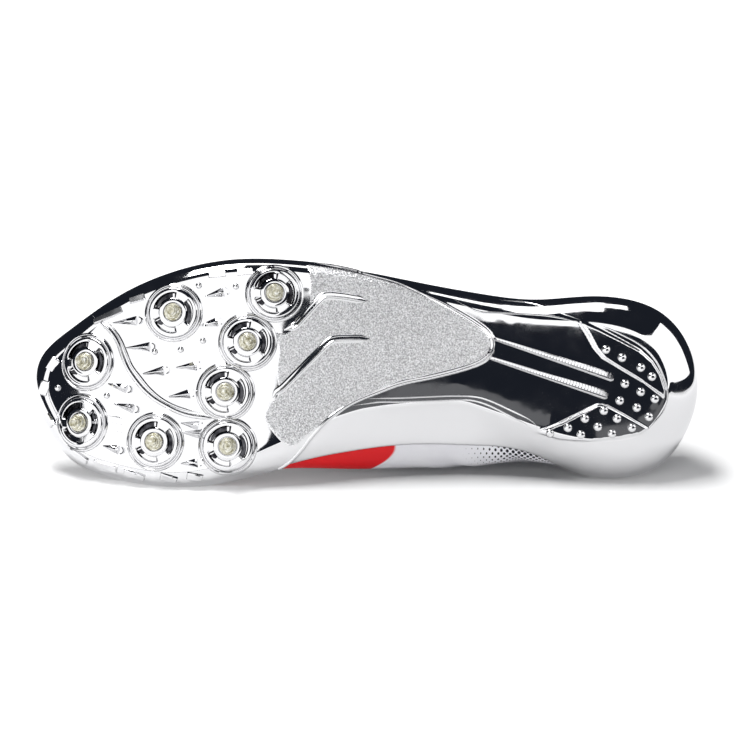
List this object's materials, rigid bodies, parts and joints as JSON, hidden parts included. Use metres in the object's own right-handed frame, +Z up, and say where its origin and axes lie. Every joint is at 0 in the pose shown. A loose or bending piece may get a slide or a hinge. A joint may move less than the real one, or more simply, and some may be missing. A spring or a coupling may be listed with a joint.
{
  "type": "track spike shoe",
  "caption": "Left sprint running shoe with a thin upper, laces, and a full-length plated sole with short spikes under the forefoot, lying on its side.",
  "frame": {"origin": "centre of the bounding box at floor level, with the shoe lying on its medial side", "axes": "+Z up from the floor, -X to the toe, +X to the heel, -Y out of the sole, +Y to the collar"},
  "size_m": [0.2766, 0.1018, 0.0904],
  "materials": {
    "plate": "plated to a bright mirror, sand-blasted in places",
    "upper": "thin coated textile",
    "tongue": "thin padded mesh",
    "insole": "brushed textile on foam",
    "lace": "flat woven lace",
    "receptacle": "machined",
    "spike": "satin"
  },
  "bodies": {
    "root": {"outsole": "plate", "upper": "upper", "tongue": "tongue", "insole": "insole", "lace": "lace", "receptacle_1": "receptacle", "receptacle_2": "receptacle", "receptacle_3": "receptacle", "receptacle_4": "receptacle", "receptacle_5": "receptacle", "receptacle_6": "receptacle", "receptacle_7": "receptacle", "receptacle_8": "receptacle", "spike_1": "spike", "spike_2": "spike", "spike_3": "spike", "spike_4": "spike", "spike_5": "spike", "spike_6": "spike", "spike_7": "spike", "spike_8": "spike"}
  },
  "joints": []
}
